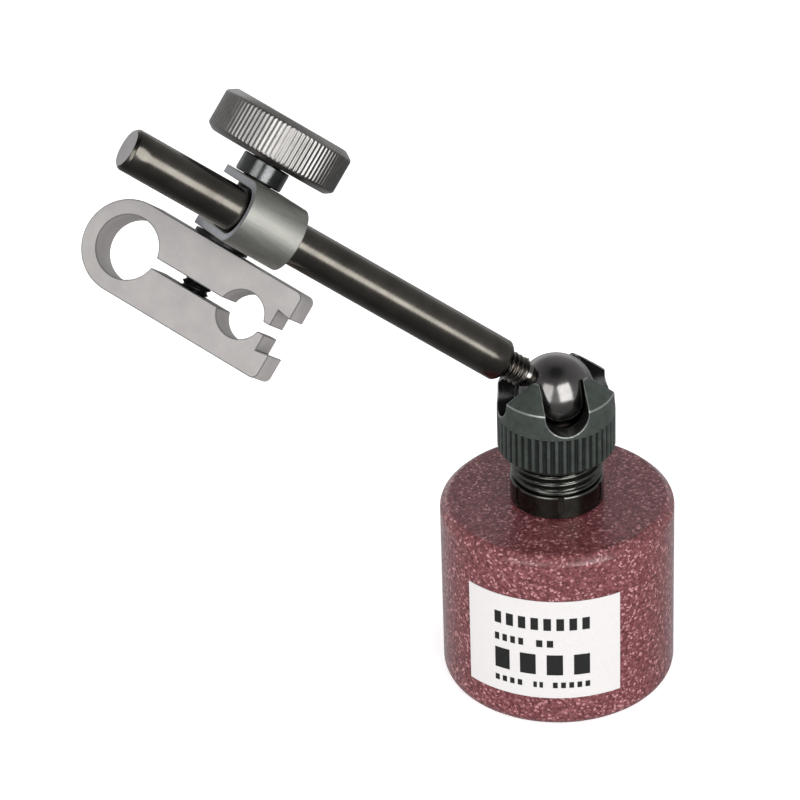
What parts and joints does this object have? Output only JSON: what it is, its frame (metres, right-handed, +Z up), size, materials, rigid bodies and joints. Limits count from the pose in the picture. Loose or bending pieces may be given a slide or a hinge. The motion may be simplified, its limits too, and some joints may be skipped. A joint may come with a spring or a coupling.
{
  "type": "magnetic indicator stand",
  "caption": "Small round magnetic base with a knurled ball clamp, a blackened rod, and a sliding swivel clamp that holds a dial indicator by its stem.",
  "frame": {"origin": "centre of the magnet face, on the axis of the round base", "axes": "+Z up along the base's axis; at rest the arm rises towards -X in the XZ plane, and the holder's open face turns to -Y"},
  "size_m": [0.073, 0.0356, 0.0827],
  "materials": {
    "hammertone_paint": "sparkling maroon hammer finish",
    "ground_steel": "ground flat",
    "magnet_alloy": "plain",
    "brass": "turned",
    "label_paper": "blank matt paper",
    "black_oxide": "black oxide",
    "bronze": "turned",
    "nut_black": "grey-green black oxide",
    "polished_gunmetal": "polished, blackened",
    "gunmetal": "polished, blackened",
    "satin_steel": "satin",
    "knurled_steel": "straight knurled, satin",
    "matte_steel": "fine blasted"
  },
  "bodies": {
    "base": {"base_case": "hammertone_paint", "centre_pole": "ground_steel", "magnet": "magnet_alloy", "separator_ring": "brass", "base_label": "label_paper", "neck_post": "black_oxide", "ball_seat": "bronze"},
    "nut": {"clamp_nut": "nut_black"},
    "ball": {"ball_stud": "polished_gunmetal"},
    "rod": {"arm_rod": "gunmetal"},
    "collar": {"rod_collar": "satin_steel", "spacer_bush": "black_oxide", "swivel_washer": "black_oxide"},
    "screw": {"clamp_screw": "black_oxide"},
    "knob": {"clamp_knob": "knurled_steel"},
    "holder": {"indicator_holder": "matte_steel"}
  },
  "joints": [
    {"name": "arm_swing", "type": "hinge", "parent": "base", "child": "nut", "pos_m": [0, 0, 0.04142], "axis": [0, 0, 1], "range_deg": [-180, 180]},
    {"name": "arm_tilt", "type": "hinge", "parent": "nut", "child": "ball", "pos_m": [0, 0, 0.04142], "axis": [0, 1, 0], "range_deg": [-37.3, 142.7]},
    {"name": "arm_spin", "type": "hinge", "parent": "ball", "child": "rod", "pos_m": [0, 0, 0.04142], "axis": [-0.7955, 0, 0.606], "continuous": true},
    {"name": "collar_slide", "type": "slide", "parent": "rod", "child": "collar", "axis": [-0.7955, 0, 0.606], "range_m": [-0.014, 0.0155]},
    {"name": "holder_swivel", "type": "hinge", "parent": "collar", "child": "holder", "pos_m": [-0.03802, 0.00795, 0.06659], "axis": [0.5665, 0.3551, 0.7436], "continuous": true},
    {"name": "screw_travel", "type": "slide", "parent": "collar", "child": "screw", "axis": [0.5665, 0.3551, 0.7436], "range_m": [0, 0.0015]},
    {"name": "knob_turn", "type": "hinge", "parent": "screw", "child": "knob", "pos_m": [-0.03802, 0.00795, 0.06659], "axis": [0.5665, 0.3551, 0.7436], "range_deg": [0, 720]}
  ],
  "couplings": [
    {"joint": "screw_travel", "follows": "knob_turn", "m_per_rad": 0.00011141}
  ]
}
